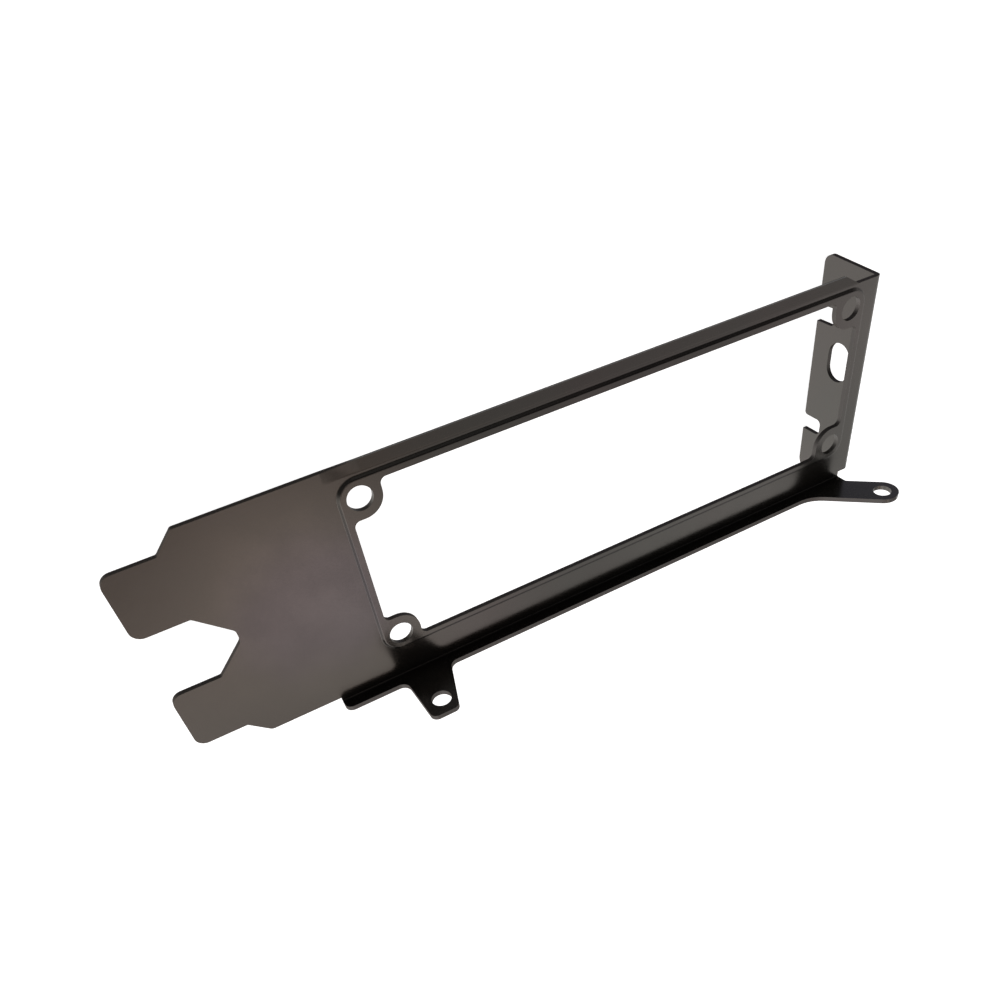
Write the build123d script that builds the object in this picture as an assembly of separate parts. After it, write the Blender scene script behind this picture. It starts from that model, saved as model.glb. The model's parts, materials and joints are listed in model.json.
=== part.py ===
from build123d import *
import math
import os

# Slot bracket for a card two slots wide, cut, embossed and folded from one sheet.
# All sizes are in millimetres. The origin is the centre of the four holes round the
# window, on the seat of the shallow recess behind them. X runs along the bracket, from
# the fingers to the screw tab. Y runs across it, from the eared flange to the lip.
# Z points to the side where the card is. Heights named below are counted from the
# face of the body on that side, and the whole is set on the seat at the end.

# Sheet
sheet = 0.8
bend_inside = 0.2

# Four holes round the window, and the raised field they stand in, with a sloped wall
# that is pressed a little thinner than the sheet
pattern_x = 81.7
pattern_y = 23.5
pattern_hole_d = 3.6
rise = 0.45
foot_margin = 3.07
wall_slope = 52.0
wall_thickness = 0.75
wall_outside_radius = 0.25
wall_inside_radius = 0.15

# Window, with a lug round each hole in its corners
window_margin = 1.75
lug_radius = 3.1
lug_blend = 0.9

# Slot pitch, shared by the fingers and the screw notches
slot_pitch = 20.32
spine_y = -1.24

# Fingers and the body they stand on
finger_tip_x = -73.08
finger_length = 7.15
finger_width = 9.9
finger_tip_radius = 1.6
fork_depth = 4.25
fork_radius = 0.9
body_width = 35.8
shoulder_radius = 0.5
skirt_blend = 1.0

# Lip along the other long edge, leant away from the card
lip_width = 1.5
lip_angle = 15.0
lip_runout_start_x = -44.73
lip_runout_length = 5.0
lip_end_back = 4.82
lip_end_slant = 2.4
lip_end_radius = 1.5

# Flange folded to the card side, and its two ears. The near ear is skewed: its edges
# are placed by their distances before and after its hole, on the way to the tab.
flange_inner_y = -19.84
flange_height = 2.0
flange_start_x = -52.33
flange_corner_radius = 1.2
flange_end_back = 2.42
ear_hole_d = 3.04
ear_hole_z = 8.2
near_ear_x = -39.53
near_ear_end_before = 2.65
near_ear_end_after = 1.6
near_ear_root_before = 3.1
near_ear_root_after = 4.4
near_ear_past_hole = 2.95
near_ear_corner_radius = 1.1
near_ear_root_radius = 1.4
far_ear_past_tab = 0.18
far_ear_angle = 43.0
far_ear_half_width = 2.75
far_ear_root_radius = 6.0
relief_radius = 0.7

# Screw tab folded away from the card
tab_outer_x = 46.94
tab_drop = 11.43
tab_neck_inset = 0.2
tab_flare = 0.7
tab_wing = 5.2
tab_high_corner_radius = 1.5
tab_low_corner_radius = 2.6
screw_line_y = -3.94
notch_width = 2.9
notch_bottom_z = -7.45
notch_corner_radius = 0.9
notch_mouth_radius = 0.6
oval_y = -0.79
oval_z = -5.5
oval_length = 6.8
oval_width = 4.7


def rounded_face(corners):
    """Flat face through corners given as (u, v, corner radius)."""
    points = [Vector(u, v) for u, v, radius in corners]
    rounds = []
    for index, (u, v, radius) in enumerate(corners):
        here = points[index]
        back = (points[index - 1] - here).normalized()
        ahead = (points[(index + 1) % len(points)] - here).normalized()
        half_angle = math.radians(back.get_angle(ahead)) / 2
        reach = radius / math.tan(half_angle)
        inward = (back + ahead).normalized()
        middle = here + inward * (radius / math.sin(half_angle) - radius)
        rounds.append((here + back * reach, middle, here + ahead * reach, radius))
    edges = []
    for index, (start, middle, end, radius) in enumerate(rounds):
        if radius > 0:
            edges.append(ThreePointArc(start, middle, end))
        next_start = rounds[(index + 1) % len(rounds)][0]
        if (next_start - end).length > 1e-6:
            edges.append(Line(end, next_start))
    return make_face(edges)


# Derived levels of the body
half_pitch = slot_pitch / 2
body_low_y = spine_y - body_width / 2
body_high_y = spine_y + body_width / 2
root_x = finger_tip_x + finger_length
shoulder_step = body_high_y - (spine_y + half_pitch + finger_width / 2)
head_x = root_x + shoulder_step
fork_half = half_pitch - finger_width / 2
fork_x = root_x + fork_depth
fork_flat = fork_half - fork_depth
flange_bend_y = flange_inner_y + bend_inside
flange_outer_y = flange_inner_y - sheet
lip_fold_y = body_high_y - lip_width
lip_end_x = tab_outer_x - lip_end_back
flange_end_x = tab_outer_x - flange_end_back
far_ear_x = tab_outer_x + far_ear_past_tab
tab_neck_low_y = body_low_y + tab_neck_inset
tab_neck_high_y = lip_fold_y
tab_inner_x = tab_outer_x - sheet
tab_bend_x = tab_inner_x - bend_inside

# Lip profile: a short bend, then the flat of the lip
lip_turn = math.radians(lip_angle)
lip_bend_y = lip_fold_y - (bend_inside + sheet) * math.tan(lip_turn / 2)
lip_start_x = lip_runout_start_x + lip_runout_length

# Flat blank between the folds, fingers included
finger_high = spine_y + half_pitch + finger_width / 2
finger_low = spine_y - half_pitch - finger_width / 2
fork_high = spine_y + fork_half
fork_low = spine_y - fork_half
blank_outline = rounded_face([
    (head_x, body_high_y, shoulder_radius),
    (root_x, finger_high, shoulder_radius),
    (finger_tip_x, finger_high, finger_tip_radius),
    (finger_tip_x, fork_high, finger_tip_radius),
    (root_x, fork_high, shoulder_radius),
    (fork_x, spine_y + fork_flat, fork_radius),
    (fork_x, spine_y - fork_flat, fork_radius),
    (root_x, fork_low, shoulder_radius),
    (finger_tip_x, fork_low, finger_tip_radius),
    (finger_tip_x, finger_low, finger_tip_radius),
    (root_x, finger_low, shoulder_radius),
    (head_x, body_low_y, skirt_blend),
    (flange_start_x, body_low_y, 0),
    (flange_start_x, flange_bend_y, 0),
    (flange_end_x, flange_bend_y, 0),
    (flange_end_x, tab_neck_low_y, 0),
    (tab_bend_x, tab_neck_low_y, 0),
    (tab_bend_x, tab_neck_high_y, 0),
    (lip_end_x, tab_neck_high_y, 0),
    (lip_end_x, lip_bend_y, 0),
    (lip_runout_start_x, lip_bend_y, 0),
    (lip_runout_start_x, body_high_y, 0),
])
blank = extrude(blank_outline, -sheet)

# Wall of the raised field: its face and its back make the same step, one set in
wall_turn = math.radians(wall_slope)
wall_rounds = wall_outside_radius + wall_inside_radius
wall_flat = (rise - wall_rounds * (1 - math.cos(wall_turn))) / math.sin(wall_turn)
wall_run = wall_rounds * math.sin(wall_turn) + wall_flat * math.cos(wall_turn)
wall_set_in = (wall_thickness - sheet * math.cos(wall_turn)) / math.sin(wall_turn)
crest_margin = foot_margin - wall_run
inner_margin = crest_margin - wall_set_in


def turn_point(center, radius, angle):
    """Point on a turn of the wall, with the angle measured from straight up."""
    return (center[0] + radius * math.sin(angle), center[1] + radius * math.cos(angle))


def wall_step(low_margin, low_z, low_radius, high_radius):
    """Turn, slope and turn that carry one face of the sheet up by the rise."""
    low_center = (low_margin, low_z + low_radius)
    high_center = (low_margin - wall_run, low_z + rise - high_radius)
    slope_start = turn_point(low_center, low_radius, math.pi + wall_turn)
    slope_end = turn_point(high_center, high_radius, wall_turn)
    return [
        ThreePointArc(
            turn_point(low_center, low_radius, math.pi),
            turn_point(low_center, low_radius, math.pi + wall_turn / 2),
            slope_start,
        ),
        Line(slope_start, slope_end),
        ThreePointArc(
            slope_end,
            turn_point(high_center, high_radius, wall_turn / 2),
            turn_point(high_center, high_radius, 0),
        ),
    ]


back_margin = foot_margin - wall_set_in
wall_face = make_face([
    *wall_step(foot_margin, 0, wall_inside_radius, wall_outside_radius),
    Line((crest_margin, rise), (inner_margin, rise)),
    Line((inner_margin, rise), (inner_margin, rise - sheet)),
    *wall_step(back_margin, -sheet, wall_outside_radius, wall_inside_radius),
    Line((back_margin, -sheet), (foot_margin, -sheet)),
    Line((foot_margin, -sheet), (foot_margin, 0)),
])

# Straight walls on the long and the short sides, and a quarter turn round each hole
half_x = pattern_x / 2
half_y = pattern_y / 2
field_wall = Part()
for angle, run, out in ((0, pattern_y, half_x), (90, pattern_x, half_y)):
    for flip in (0, 180):
        side = Pos(out, run / 2, 0) * extrude(Plane.XZ * wall_face, run)
        field_wall += Rot(0, 0, angle + flip) * side
for side_x, side_y, angle in ((1, 1, 0), (-1, 1, 90), (-1, -1, 180), (1, -1, 270)):
    corner = revolve(Plane.XZ * wall_face, Axis.Z, 90)
    field_wall += Pos(side_x * half_x, side_y * half_y, 0) * Rot(0, 0, angle) * corner

foot_outline = RectangleRounded(
    pattern_x + 2 * foot_margin, pattern_y + 2 * foot_margin, foot_margin
)
field_outline = RectangleRounded(
    pattern_x + 2 * inner_margin, pattern_y + 2 * inner_margin, inner_margin
)
field_top = Pos(0, 0, rise - sheet) * extrude(field_outline, sheet)
plate = blank - Pos(0, 0, -2 * sheet) * extrude(foot_outline, 3 * sheet)
plate = plate + field_wall + field_top

# Window with a lug left in each corner
window_x = half_x + window_margin
window_y = half_y + window_margin
lug_x = half_x - lug_radius
lug_y = half_y - lug_radius
window_corners = []
for side_x, side_y in ((1, 1), (-1, 1), (-1, -1), (1, -1)):
    lug = [
        (side_x * window_x, side_y * lug_y, lug_blend),
        (side_x * lug_x, side_y * lug_y, lug_radius),
        (side_x * lug_x, side_y * window_y, lug_blend),
    ]
    if side_x != side_y:
        lug.reverse()
    window_corners += lug
cut_depth = 4 * (sheet + rise)
window = extrude(rounded_face(window_corners), cut_depth / 2, both=True)
plate = plate - window

# Round hole in each lug
pattern_places = [
    Pos(side_x * half_x, side_y * half_y, 0) for side_x in (-1, 1) for side_y in (-1, 1)
]
for place in pattern_places:
    plate = plate - place * Cylinder(pattern_hole_d / 2, cut_depth)

# Lip: the profile runs up to the slanted end, and dies out into the flat body
bend_outer = bend_inside + sheet
lip_center = (lip_bend_y, -bend_outer)
lip_flat_start = turn_point(lip_center, bend_outer, lip_turn)
lip_flat = lip_width - bend_outer * math.tan(lip_turn / 2)
lip_along = (math.cos(lip_turn), -math.sin(lip_turn))
lip_under_start = turn_point(lip_center, bend_inside, lip_turn)


def along(start, length):
    """Point a length down the flat of the lip."""
    return (start[0] + lip_along[0] * length, start[1] + lip_along[1] * length)


lip_section = make_face([
    ThreePointArc(
        (lip_bend_y, 0), turn_point(lip_center, bend_outer, lip_turn / 2), lip_flat_start
    ),
    Line(lip_flat_start, along(lip_flat_start, lip_flat)),
    Line(along(lip_flat_start, lip_flat), along(lip_under_start, lip_flat)),
    Line(along(lip_under_start, lip_flat), lip_under_start),
    ThreePointArc(
        lip_under_start, turn_point(lip_center, bend_inside, lip_turn / 2), (lip_bend_y, -sheet)
    ),
    Line((lip_bend_y, -sheet), (lip_bend_y, 0)),
])
flat_section = make_face([
    Line((lip_bend_y, 0), (lip_flat_start[0], 0)),
    Line((lip_flat_start[0], 0), (body_high_y, 0)),
    Line((body_high_y, 0), (body_high_y, -sheet)),
    Line((body_high_y, -sheet), (lip_under_start[0], -sheet)),
    Line((lip_under_start[0], -sheet), (lip_bend_y, -sheet)),
    Line((lip_bend_y, -sheet), (lip_bend_y, 0)),
])
lip_length = lip_end_x - lip_start_x
lip = extrude(Plane.YZ.offset(lip_start_x) * lip_section, lip_length)
lip_plan = rounded_face([
    (lip_start_x, lip_bend_y - sheet, 0),
    (lip_end_x, lip_bend_y - sheet, 0),
    (lip_end_x, lip_fold_y, 0),
    (lip_end_x - lip_end_slant, body_high_y, lip_end_radius),
    (lip_start_x, body_high_y, 0),
])
lip = lip & extrude(lip_plan, cut_depth / 2, both=True)
lip_runout = loft(
    [
        Plane.YZ.offset(lip_runout_start_x) * flat_section,
        Plane.YZ.offset(lip_start_x) * lip_section,
    ],
    ruled=True,
)

# Flange bend, then the upright leaf that carries both ears
flange_bend = make_face([
    Line((flange_bend_y, 0), (flange_bend_y, -sheet)),
    RadiusArc((flange_bend_y, -sheet), (flange_outer_y, bend_inside), bend_outer),
    Line((flange_outer_y, bend_inside), (flange_inner_y, bend_inside)),
    RadiusArc((flange_inner_y, bend_inside), (flange_bend_y, 0), -bend_inside),
])
flange_length = flange_end_x - flange_start_x
flange = extrude(Plane.YZ.offset(flange_start_x) * flange_bend, flange_length)

ear_turn = math.radians(far_ear_angle)
ear_along = Vector(math.cos(ear_turn), math.sin(ear_turn))
ear_across = Vector(-math.sin(ear_turn), math.cos(ear_turn))
far_hole = Vector(far_ear_x, ear_hole_z)
near_end_z = ear_hole_z + near_ear_past_hole
far_end = far_hole + ear_along * far_ear_half_width
far_free = far_end + ear_across * far_ear_half_width
far_tab = far_end - ear_across * far_ear_half_width
far_free_root_x = far_free.X - (far_free.Y - flange_height) / math.tan(ear_turn)
far_tab_root_z = far_tab.Y - (far_tab.X - flange_end_x) * math.tan(ear_turn)
leaf_outline = rounded_face([
    (flange_start_x, bend_inside, 0),
    (flange_end_x, bend_inside, 0),
    (flange_end_x, far_tab_root_z, relief_radius),
    (far_tab.X, far_tab.Y, far_ear_half_width * 0.999),
    (far_free.X, far_free.Y, far_ear_half_width * 0.999),
    (far_free_root_x, flange_height, far_ear_root_radius),
    (near_ear_x + near_ear_root_after, flange_height, near_ear_root_radius),
    (near_ear_x + near_ear_end_after, near_end_z, near_ear_corner_radius),
    (near_ear_x - near_ear_end_before, near_end_z, near_ear_corner_radius),
    (near_ear_x - near_ear_root_before, flange_height, near_ear_root_radius),
    (flange_start_x, flange_height, flange_corner_radius),
])
flange += extrude(Plane.XZ.offset(-flange_inner_y) * leaf_outline, sheet)
for ear_x in (near_ear_x, far_ear_x):
    ear_hole = Pos(ear_x, flange_inner_y, ear_hole_z) * Rot(90, 0, 0)
    flange -= ear_hole * Cylinder(ear_hole_d / 2, 4 * sheet)

# Tab bend, then the hanging leaf with two screw notches and an oval hole
tab_bend_z = -bend_outer
tab_bend = make_face([
    Line((tab_bend_x, 0), (tab_bend_x, -sheet)),
    RadiusArc((tab_bend_x, -sheet), (tab_inner_x, tab_bend_z), bend_inside),
    Line((tab_inner_x, tab_bend_z), (tab_outer_x, tab_bend_z)),
    RadiusArc((tab_outer_x, tab_bend_z), (tab_bend_x, 0), -bend_outer),
])
neck_length = tab_neck_high_y - tab_neck_low_y
tab = extrude(Plane.XZ.offset(-tab_neck_high_y) * tab_bend, neck_length)

tab_low_y = tab_neck_low_y - tab_wing
notches = [screw_line_y + half_pitch, screw_line_y - half_pitch]
tab_corners = [
    (tab_neck_low_y, tab_bend_z, 0),
    (tab_neck_high_y, tab_bend_z, 0),
    (tab_neck_high_y + tab_flare, -tab_drop, tab_high_corner_radius),
]
for notch_y in notches:
    tab_corners += [
        (notch_y + notch_width / 2, -tab_drop, notch_mouth_radius),
        (notch_y + notch_width / 2, notch_bottom_z, notch_corner_radius),
        (notch_y - notch_width / 2, notch_bottom_z, notch_corner_radius),
        (notch_y - notch_width / 2, -tab_drop, 0),
    ]
tab_corners += [
    (tab_low_y, -tab_drop, tab_low_corner_radius),
    (tab_low_y, tab_bend_z - tab_wing, tab_low_corner_radius),
]
tab += extrude(Plane.YZ.offset(tab_inner_x) * rounded_face(tab_corners), sheet)
oval = SlotOverall(oval_length, oval_width)
oval_plane = Plane.YZ.offset(tab_inner_x - sheet)
tab -= extrude(oval_plane * Pos(oval_y, oval_z) * oval, 3 * sheet)

slot_bracket = plate + lip + lip_runout + flange + tab
slot_bracket = slot_bracket.clean()

# Set on the seat of the recess, which lies this far behind the face of the body
seat_depth = sheet - rise
slot_bracket = Pos(0, 0, seat_depth) * slot_bracket
slot_bracket.label = "slot_bracket"

os.makedirs("parts", exist_ok=True)
export_step(slot_bracket, "parts/slot_bracket.step")
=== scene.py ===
import bpy
import bmesh
import json
from math import radians
from mathutils import Euler, Matrix, Vector


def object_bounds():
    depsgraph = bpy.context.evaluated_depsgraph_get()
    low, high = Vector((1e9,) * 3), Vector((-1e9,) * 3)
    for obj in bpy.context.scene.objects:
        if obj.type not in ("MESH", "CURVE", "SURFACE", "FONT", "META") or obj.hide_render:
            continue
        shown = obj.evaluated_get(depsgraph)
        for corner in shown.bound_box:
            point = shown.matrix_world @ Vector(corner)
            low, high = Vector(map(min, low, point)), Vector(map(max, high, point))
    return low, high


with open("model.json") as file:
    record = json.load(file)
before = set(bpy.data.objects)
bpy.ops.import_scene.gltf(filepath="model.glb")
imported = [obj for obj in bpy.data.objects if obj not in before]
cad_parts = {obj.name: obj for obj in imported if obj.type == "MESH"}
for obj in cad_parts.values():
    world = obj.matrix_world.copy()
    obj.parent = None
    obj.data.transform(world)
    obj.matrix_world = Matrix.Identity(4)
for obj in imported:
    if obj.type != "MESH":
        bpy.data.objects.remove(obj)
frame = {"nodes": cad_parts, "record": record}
cad_box = [list(map(float, corner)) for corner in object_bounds()]
bracket = frame["nodes"]["slot_bracket"]
mount_sizes = {mount["name"]: mount["dims"] for mount in frame["record"]["mounts"]}
holes = mount_sizes["window_holes"]
scene = bpy.context.scene
scene.view_settings.view_transform = "Standard"
MM = 0.001

# Places on the bracket that its material needs, in metres
SHEET = 0.8 * MM
FACE_Z = 0.35 * MM
PAST_BEND = 0.2 * MM
PAST_HOLE = 0.15 * MM
BEND_REACH = 0.45 * MM
FLANGE_START_X = -52.33 * MM
FLANGE_INNER_Y = -19.84 * MM
FLANGE_DEPTH = 0.3 * MM
FLANGE_FOOT_Z = FACE_Z + PAST_BEND
TAB_INNER_X = 46.14 * MM
TAB_TOP_Z = FACE_Z - SHEET - PAST_BEND
FIELD_LOW_Y = -14.27 * MM
HOLE_X = holes["spacing_x_mm"] / 2 * MM
HOLE_Y = holes["spacing_y_mm"] / 2 * MM
HOLE_WALL = holes["hole_r_mm"] * MM + PAST_HOLE
PLATE_MIDDLE = Vector((-50, -2, 0)) * MM
EDGE_RADIUS = 0.1 * MM

# Where a tint or a mark begins, then where it is full: in metres
FILM_FADE_X = (-30 * MM, -42 * MM)
FILM_RING = (10 * MM, 20 * MM)
# Reach of the painted shade from the flange's bend
BEND_SHADE_REACH = (0.32 * MM, 0.12 * MM)
CREST_REACH = (0.17 * MM, 0.08 * MM)

# The same, in the lean of the surface and in the level of a noise
CUT_LEAN = (0.3, 0.15)
LOW_WALL_LEAN_Y = (-0.15, -0.35)
LOW_WALL_LEAN_Z = (0.1, 0.3)
EDGE_TURN = (0.98, 0.8)
DRIFT_LEVEL = (0.35, 0.65)
EDGE_BREAKUP_LEVEL = (0.42, 0.62)
SATIN_LEVEL = (0.3, 0.7)

# Colours of the plating, of the painted shade and of the rubbed edges with their painted highlight, and
# how much of each shows
TINT_WARM = (0.107, 0.092, 0.086, 1)
TINT_COOL = (0.098, 0.092, 0.084, 1)
TINT_CUT = (0.098, 0.09, 0.085, 1)
FILM_VIOLET = (0.1025, 0.09, 0.0905, 1)
FILM_OLIVE = (0.105, 0.0947, 0.0842, 1)
# Dark colour painted as shade, in the flange's bend and on the low side of the raised field's wall
PAINTED_SHADE_COLOUR = (0.02, 0.018, 0.018, 1)
# Lighter colour for the rubbed edges, which also paints a highlight along them
RUBBED_AND_HIGHLIGHT_COLOUR = (0.24, 0.22, 0.2, 1)
WHITE = (1, 1, 1, 1)
CUT_SHEEN = (0.42, 0.4, 0.38, 1)
METAL_SHARE = 0.92
HOLE_CUT_SHARE = 0.35
# Share of the painted shade in the flange's bend
BEND_SHADE_SHARE = 0.7
# Share of the painted shade on the low wall and its crest
WALL_SHADE_SHARE = 0.8
# Share of the rubbed edges with their painted highlight
EDGE_WEAR_AND_HIGHLIGHT_SHARE = 0.35

# Scales of the noises, in waves to the metre, and what they give: a film whose ring wanders by
# so much, and a satin surface
DRIFT_SCALE = 28.0
FILM_SCALE = 90.0
FILM_WANDER = 8 * MM
CLOUD_SCALE = 160.0
EDGE_BREAKUP_SCALE = 900.0
GRAIN_SCALE = 9000.0
GRAIN_STRETCH = (0.25, 1.0, 1.0)
GRAIN_ROUGHNESS = (0.19, 0.25)
CLOUD_ROUGHNESS = (-0.02, 0.02)
CUT_ROUGHNESS = 0.2
GRAIN_STRENGTH = 0.06
GRAIN_HEIGHT = 0.02 * MM

# The camera's place and turn, in the frame of the bracket
CAMERA_PLACE = Vector((-58.844, 67.908, 92.009)) * MM
CAMERA_TURN = Euler((radians(-41.1206), radians(-28.564), radians(-7.5499)))
SENSOR_WIDTH = 36.0
LENS = 29.5665
SHIFT_X = -0.028976
SHIFT_Y = 0.15925

# Stage, in metres: the floor lies just under the bracket, and the dome goes round both
FLOOR_GAP = 0.05 * MM
FLOOR_Z = cad_box[0][2] - FLOOR_GAP
FLOOR_HALF = 3.0
DOME_RADIUS = 2.95

# The studio's tone by how far a direction leans toward SKY_AXIS, from -1 to 1
SKY_AXIS = (0.3, -0.95, -0.1)
SKY_TOP = 1.4
SKY_LEVELS = (
    (-1.0, 0.07), (-0.5, 0.095), (-0.2, 0.27), (-0.05, 0.49), (0.25, 0.61), (0.33, 0.5),
    (0.37, 0.44), (0.41, 0.56), (0.47, 1.0), (0.6, 1.1), (1.0, 1.2),
)
# Soft round patches: toward, the leans where each begins and is full, and the tone that it adds
ADDED_PATCHES = (
    ((-0.669, -0.461, -0.587), 0.7, 0.95, 0.52),
    ((-0.75, -0.57, 0.3), 0.68, 0.9, 0.5),
    ((-0.53, 0.16, -0.815), 0.9, 0.97, 0.35),
    ((0.2, 0.97, 0.1), 0.93, 0.985, 0.12),
    ((0.05, -0.6, 0.8), 0.988, 0.999, 0.97),
    ((-0.5, -0.62, 0.6), 0.93, 0.985, 0.3),
    ((-0.02, -0.5, 0.866), 0.94, 0.99, 0.36),
    ((-0.15, 0.3, 0.94), 0.93, 0.985, 0.3),
    ((0.76, -0.4, 0.512), 0.988, 0.999, 0.98),
    ((0.54, -0.58, 0.61), 0.985, 0.998, 0.3),
    ((0.42, -0.42, 0.8), 0.95, 0.99, -0.35),
    ((0.04, -0.7, 0.713), 0.988, 0.999, -0.66),
    ((-0.02, -0.4, 0.916), 0.94, 0.99, -0.66),
)
# The same, with the share of the tone that each takes away
SHADED_PATCHES = (
    ((0.35, 0.6, 0.7), 0.785, 0.9, 0.8),
    ((0.75, -0.38, 0.55), 0.93, 0.985, 0.2),
    ((0.5, 0.0, -0.87), 0.8, 0.95, 0.5),
)
# The same, with the colour of the light there
HUE_PATCHES = (
    ((-0.1, -0.25, 0.96), 0.85, 0.965, (1.13, 0.96, 0.9, 1)),
    ((0.64, 0.55, -0.53), 0.85, 0.97, (0.93, 0.95, 1.15, 1)),
)


class Nodes:
    """Small helper that adds nodes to a tree and joins them."""

    def __init__(self, tree):
        self.tree = tree

    def add(self, kind, **settings):
        made = self.tree.nodes.new(kind)
        for name, value in settings.items():
            setattr(made, name, value)
        return made

    def feed(self, target, source):
        """Joins a socket to another, or sets its value."""
        if isinstance(source, bpy.types.NodeSocket):
            self.tree.links.new(source, target)
        else:
            target.default_value = source

    def math(self, operation, *values):
        made = self.add("ShaderNodeMath", operation=operation)
        for socket, value in zip(made.inputs, values):
            self.feed(socket, value)
        return made.outputs[0]

    def product(self, first, *others):
        for other in others:
            first = self.math("MULTIPLY", first, other)
        return first

    def vector(self, operation, *values, output="Value"):
        made = self.add("ShaderNodeVectorMath", operation=operation)
        for socket, value in zip(made.inputs, values):
            self.feed(socket, value)
        return made.outputs[output]

    def split(self, vector):
        made = self.add("ShaderNodeSeparateXYZ")
        self.feed(made.inputs[0], vector)
        return tuple(made.outputs)

    def reach(self, first, second):
        """Length of the flat vector that has these two coordinates."""
        joined = self.add("ShaderNodeCombineXYZ")
        self.feed(joined.inputs[0], first)
        self.feed(joined.inputs[1], second)
        return self.vector("LENGTH", joined.outputs[0])

    def span(self, value, low, high, to_low=0.0, to_high=1.0):
        """Maps low..high softly to to_low..to_high, and holds the ends."""
        made = self.add("ShaderNodeMapRange", interpolation_type="SMOOTHSTEP")
        self.feed(made.inputs["Value"], value)
        made.inputs["From Min"].default_value = low
        made.inputs["From Max"].default_value = high
        made.inputs["To Min"].default_value = to_low
        made.inputs["To Max"].default_value = to_high
        return made.outputs["Result"]

    def mix(self, factor, first, second):
        """Colour that goes from the first to the second."""
        made = self.add("ShaderNodeMix", data_type="RGBA")
        self.feed(made.inputs["Factor"], factor)
        self.feed(made.inputs[6], first)
        self.feed(made.inputs[7], second)
        return made.outputs[2]

    def noise(self, vector, scale, detail=2.0, rough=0.5):
        made = self.add("ShaderNodeTexNoise")
        self.feed(made.inputs["Vector"], vector)
        made.inputs["Scale"].default_value = scale
        made.inputs["Detail"].default_value = detail
        made.inputs["Roughness"].default_value = rough
        return made.outputs["Fac"]


def stage_material(name, base, glow):
    """Dull white that gives off light of its own, for a stage that has to stay plain."""
    made = bpy.data.materials.new(name)
    made.use_nodes = True
    dull = made.node_tree.nodes["Principled BSDF"]
    dull.inputs["Base Color"].default_value = (base, base, base, 1)
    dull.inputs["Roughness"].default_value = 0.9
    dull.inputs["Specular IOR Level"].default_value = 0.0
    dull.inputs["Emission Color"].default_value = WHITE
    dull.inputs["Emission Strength"].default_value = glow
    return made


# Camera at the photograph's viewing angle
camera_data = bpy.data.cameras.new("camera")
camera_data.sensor_width = SENSOR_WIDTH
camera_data.lens = LENS
camera_data.shift_x = SHIFT_X
camera_data.shift_y = SHIFT_Y
camera_data.clip_start = 0.005
camera_data.clip_end = 20.0
camera = bpy.data.objects.new("camera", camera_data)
scene.collection.objects.link(camera)
camera.matrix_world = Matrix.LocRotScale(CAMERA_PLACE, CAMERA_TURN, None)
scene.camera = camera

# Pale floor, which the plating doesn't mirror
floor_mesh = bpy.data.meshes.new("floor")
floor_mesh.from_pydata(
    [
        (-FLOOR_HALF, -FLOOR_HALF, 0), (FLOOR_HALF, -FLOOR_HALF, 0),
        (FLOOR_HALF, FLOOR_HALF, 0), (-FLOOR_HALF, FLOOR_HALF, 0),
    ],
    [], [(0, 1, 2, 3)],
)
floor_mesh.materials.append(stage_material("floor", base=0.92, glow=0.85))
floor = bpy.data.objects.new("floor", floor_mesh)
floor.location = (0, 0, FLOOR_Z)
scene.collection.objects.link(floor)
floor.visible_glossy = False

# White dome that only the camera sees, so that the backdrop is plain from every side
dome_mesh = bpy.data.meshes.new("backdrop")
dome_form = bmesh.new()
bmesh.ops.create_uvsphere(dome_form, u_segments=48, v_segments=24, radius=DOME_RADIUS)
dome_form.to_mesh(dome_mesh)
dome_form.free()
dome_mesh.materials.append(stage_material("backdrop", base=0.0, glow=1.0))
dome = bpy.data.objects.new("backdrop", dome_mesh)
scene.collection.objects.link(dome)
dome.visible_diffuse = dome.visible_glossy = dome.visible_transmission = False
dome.visible_volume_scatter = dome.visible_shadow = False

# Soft studio: bright low on the far side, dim behind the camera, with soft patches of its own
world = bpy.data.worlds.new("studio")
scene.world = world
world.use_nodes = True
sky = Nodes(world.node_tree)
direction = sky.add("ShaderNodeTexCoord").outputs["Generated"]
lean = sky.vector("DOT_PRODUCT", direction, SKY_AXIS)
ramp = sky.add("ShaderNodeValToRGB")
sky.feed(ramp.inputs["Fac"], sky.math("MULTIPLY_ADD", lean, 0.5, 0.5))
stops = ramp.color_ramp.elements
stops.remove(stops[1])
for index, (stop_lean, level) in enumerate(SKY_LEVELS):
    stop = stops[0] if index == 0 else stops.new(0.5)
    stop.position = (stop_lean + 1) / 2
    stop.color = (level / SKY_TOP,) * 3 + (1,)
tone = sky.product(ramp.outputs["Color"], SKY_TOP)


def patch(toward, low, high):
    """One inside a soft round patch of the studio, falling to nought round it."""
    toward_lean = sky.vector("DOT_PRODUCT", direction, Vector(toward).normalized())
    return sky.span(toward_lean, low, high)


for toward, low, high, more in ADDED_PATCHES:
    tone = sky.math("ADD", tone, sky.product(patch(toward, low, high), more))
for toward, low, high, less in SHADED_PATCHES:
    tone = sky.product(tone, sky.math("MULTIPLY_ADD", patch(toward, low, high), -less, 1.0))
hue = WHITE
for toward, low, high, colour in HUE_PATCHES:
    hue = sky.mix(patch(toward, low, high), hue, colour)
background = world.node_tree.nodes["Background"]
sky.feed(background.inputs["Strength"], tone)
sky.feed(background.inputs["Color"], hue)

# Dark nickel plating
plating = bpy.data.materials.new("black_nickel")
plating.use_nodes = True
coat = Nodes(plating.node_tree)
shader = plating.node_tree.nodes["Principled BSDF"]
shader.inputs["Metallic"].default_value = METAL_SHARE
place = coat.add("ShaderNodeTexCoord").outputs["Object"]
surface = coat.add("ShaderNodeNewGeometry")
x, y, z = coat.split(place)
either_x = coat.math("ABSOLUTE", x)
either_y = coat.math("ABSOLUTE", y)
normal = coat.split(surface.outputs["True Normal"])
across_x, across_y, across_z = (coat.math("ABSOLUTE", part) for part in normal)

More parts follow.
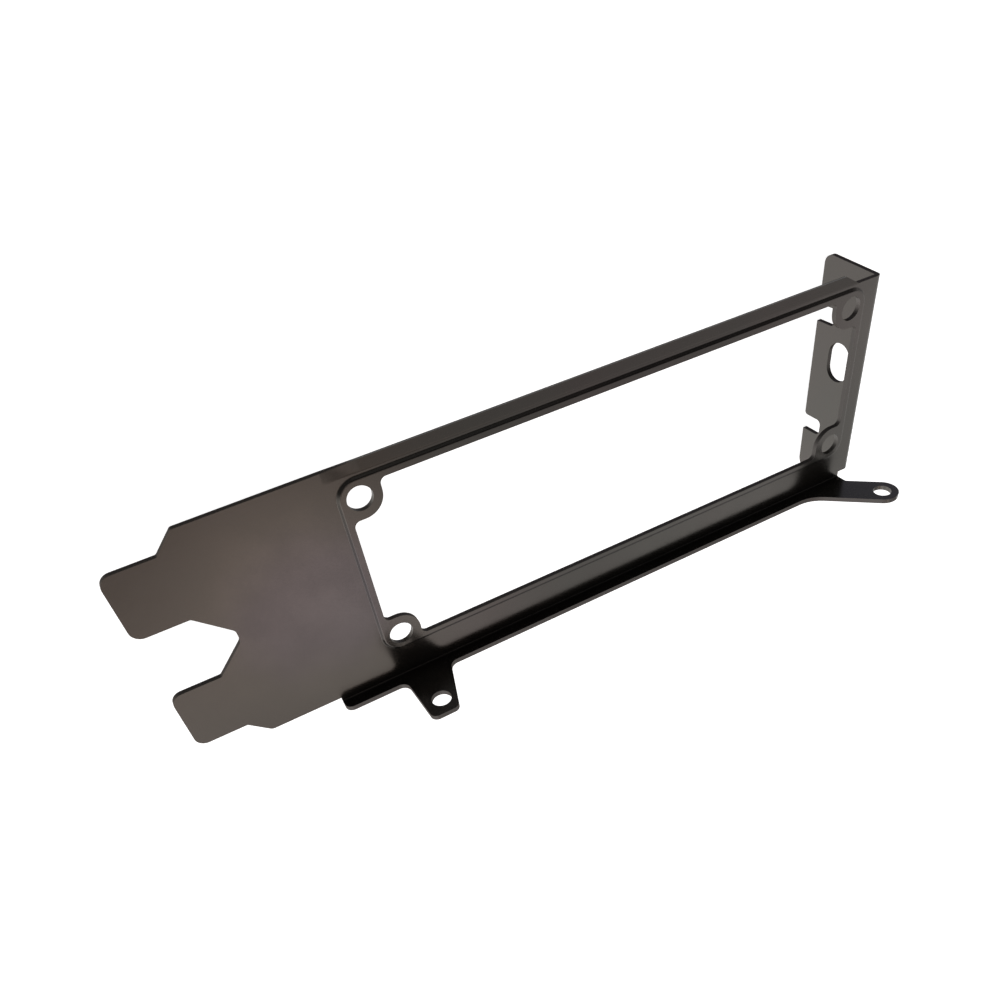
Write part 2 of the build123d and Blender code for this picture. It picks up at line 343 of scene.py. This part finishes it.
# Where the sheet was cut: faces square to the sheet, in the plate, the flange and the tab
in_flange = coat.product(
    coat.math("LESS_THAN", y, FLANGE_INNER_Y + FLANGE_DEPTH),
    coat.math("GREATER_THAN", z, FLANGE_FOOT_Z),
)
in_tab = coat.math("LESS_THAN", z, TAB_TOP_Z)
in_plate = coat.math("SUBTRACT", coat.math("SUBTRACT", 1.0, in_flange), in_tab)
folded_face = coat.math("ADD", coat.product(in_flange, across_y), coat.product(in_tab, across_x))
face_on = coat.math("ADD", coat.product(in_plate, across_z), folded_face)
flange_bend = coat.math("LESS_THAN", y, FLANGE_INNER_Y + BEND_REACH)
tab_bend = coat.math("GREATER_THAN", x, TAB_INNER_X - BEND_REACH)
in_bend = coat.math("MAXIMUM", coat.product(flange_bend, across_y), coat.product(tab_bend, across_x))
cut = coat.span(coat.math("MAXIMUM", face_on, in_bend), *CUT_LEAN)

# The walls of the four lug holes are plated more than the other cut faces
from_hole = coat.reach(
    coat.math("SUBTRACT", either_x, HOLE_X),
    coat.math("SUBTRACT", either_y, HOLE_Y),
)
hole_wall = coat.math("LESS_THAN", from_hole, HOLE_WALL)
cut = coat.product(cut, coat.math("MULTIPLY_ADD", hole_wall, HOLE_CUT_SHARE - 1, 1.0))

# Colour: slow drifts of tint, and a film from violet grey in the plate's middle to olive grey
drift = coat.noise(place, DRIFT_SCALE)
tint = coat.mix(coat.span(drift, *DRIFT_LEVEL), TINT_WARM, TINT_COOL)
from_middle = coat.vector("DISTANCE", place, PLATE_MIDDLE)
film_ring = coat.math("MULTIPLY_ADD", coat.noise(place, FILM_SCALE), FILM_WANDER, from_middle)
film = coat.mix(coat.span(film_ring, *FILM_RING), FILM_VIOLET, FILM_OLIVE)
tint = coat.mix(coat.span(x, *FILM_FADE_X), tint, film)
tint = coat.mix(cut, tint, TINT_CUT)

# Painted shade in the bend under the ears, darkening the inner corner where it falls in shade
from_bend = coat.reach(
    coat.math("SUBTRACT", y, FLANGE_INNER_Y),
    coat.math("SUBTRACT", z, FACE_Z),
)
along_flange = coat.math("GREATER_THAN", x, FLANGE_START_X)
bend_shade = coat.product(coat.span(from_bend, *BEND_SHADE_REACH), along_flange)
tint = coat.mix(coat.product(bend_shade, BEND_SHADE_SHARE), tint, PAINTED_SHADE_COLOUR)

# Painted shade on the low side of the raised field's wall, and a painted dark line along its crest
# there, which is straight between the holes
low_wall_shade = coat.product(coat.span(normal[1], *LOW_WALL_LEAN_Y), coat.span(normal[2], *LOW_WALL_LEAN_Z))
from_crest = coat.math("ABSOLUTE", coat.math("SUBTRACT", y, FIELD_LOW_Y))
crest_shade_line = coat.product(
    coat.span(from_crest, *CREST_REACH),
    coat.math("LESS_THAN", either_x, HOLE_X),
    coat.math("GREATER_THAN", z, FACE_Z),
)
# dull holds the painted shade of the low wall and the painted dark line on its crest
dull = coat.math("MAXIMUM", low_wall_shade, crest_shade_line)
tint = coat.mix(coat.product(dull, WALL_SHADE_SHARE), tint, PAINTED_SHADE_COLOUR)

# Edges, where the plating is rubbed a little brighter and a painted highlight lightens them
soft_edge = coat.add("ShaderNodeBevel", samples=6)
soft_edge.inputs["Radius"].default_value = EDGE_RADIUS
turned = coat.vector("DOT_PRODUCT", soft_edge.outputs["Normal"], surface.outputs["Normal"])
edge = coat.span(turned, *EDGE_TURN)
edge_wear_and_highlight_breakup = coat.span(coat.noise(place, EDGE_BREAKUP_SCALE, detail=3.0, rough=0.6), *EDGE_BREAKUP_LEVEL)
# Mixes in the rubbed colour, which also paints a highlight along the edges
colour = coat.mix(coat.product(edge, edge_wear_and_highlight_breakup, EDGE_WEAR_AND_HIGHLIGHT_SHARE), tint, RUBBED_AND_HIGHLIGHT_COLOUR)
coat.feed(shader.inputs["Base Color"], colour)
coat.feed(shader.inputs["Specular Tint"], coat.mix(cut, WHITE, CUT_SHEEN))

# Satin grain, drawn out a little along the bracket
stretched = coat.vector("MULTIPLY", place, GRAIN_STRETCH, output="Vector")
grain = coat.noise(stretched, GRAIN_SCALE, detail=3.0, rough=0.6)
cloud = coat.noise(place, CLOUD_SCALE, detail=3.0)
satin = coat.math(
    "ADD",
    coat.span(grain, *SATIN_LEVEL, *GRAIN_ROUGHNESS),
    coat.span(cloud, *SATIN_LEVEL, *CLOUD_ROUGHNESS),
)
coat.feed(shader.inputs["Roughness"], coat.math("ADD", satin, coat.product(cut, CUT_ROUGHNESS)))
bump = coat.add("ShaderNodeBump")
bump.inputs["Strength"].default_value = GRAIN_STRENGTH
bump.inputs["Distance"].default_value = GRAIN_HEIGHT
coat.feed(bump.inputs["Height"], grain)
coat.feed(shader.inputs["Normal"], bump.outputs["Normal"])
for slot in bracket.material_slots:
    slot.material = plating
